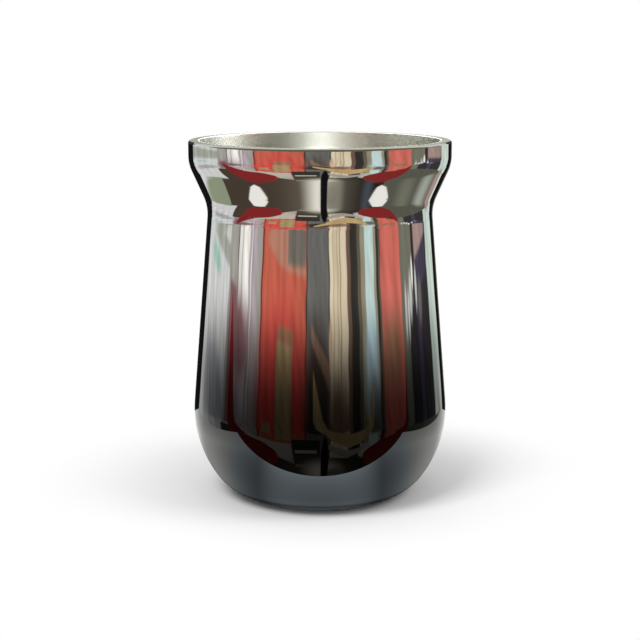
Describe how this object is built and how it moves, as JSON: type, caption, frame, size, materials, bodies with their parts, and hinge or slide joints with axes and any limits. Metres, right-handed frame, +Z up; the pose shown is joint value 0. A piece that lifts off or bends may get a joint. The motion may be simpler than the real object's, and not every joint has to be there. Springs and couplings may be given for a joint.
{
  "type": "mate cup",
  "caption": "Double-walled steel mate cup with a flared collar, narrowed waist, conical body and round belly; mirror outside fading to smoked black, matt liner, vacuum base under a cover.",
  "frame": {"origin": "centre of the standing ring, on the table", "axes": "+Z up along the cup's axis, out of the mouth; the side shown in the picture faces -Y"},
  "size_m": [0.08, 0.08, 0.11],
  "materials": {
    "mirror_steel": "mirror-polished stainless steel under a smoked lacquer that fades from clear above to black at the base",
    "blasted_steel": "stainless steel blasted matt, with a fine even grain",
    "copper_foil": "bright copper foil, lightly creased",
    "rolled_steel": "stainless sheet as rolled and pressed, dulled by the vacuum furnace",
    "getter_powder": "pressed metal powder, dark grey and porous",
    "solder_glass": "dark green solder glass, melted smooth",
    "turned_steel": "stainless steel brushed in circles"
  },
  "bodies": {
    "root": {"outer_shell": "mirror_steel", "inner_liner": "blasted_steel", "liner_bottom": "blasted_steel", "copper_foil": "copper_foil", "vacuum_base": "rolled_steel", "getter_channel": "rolled_steel", "getter_charge": "getter_powder", "glass_seal": "solder_glass", "base_cover": "turned_steel"}
  },
  "joints": []
}
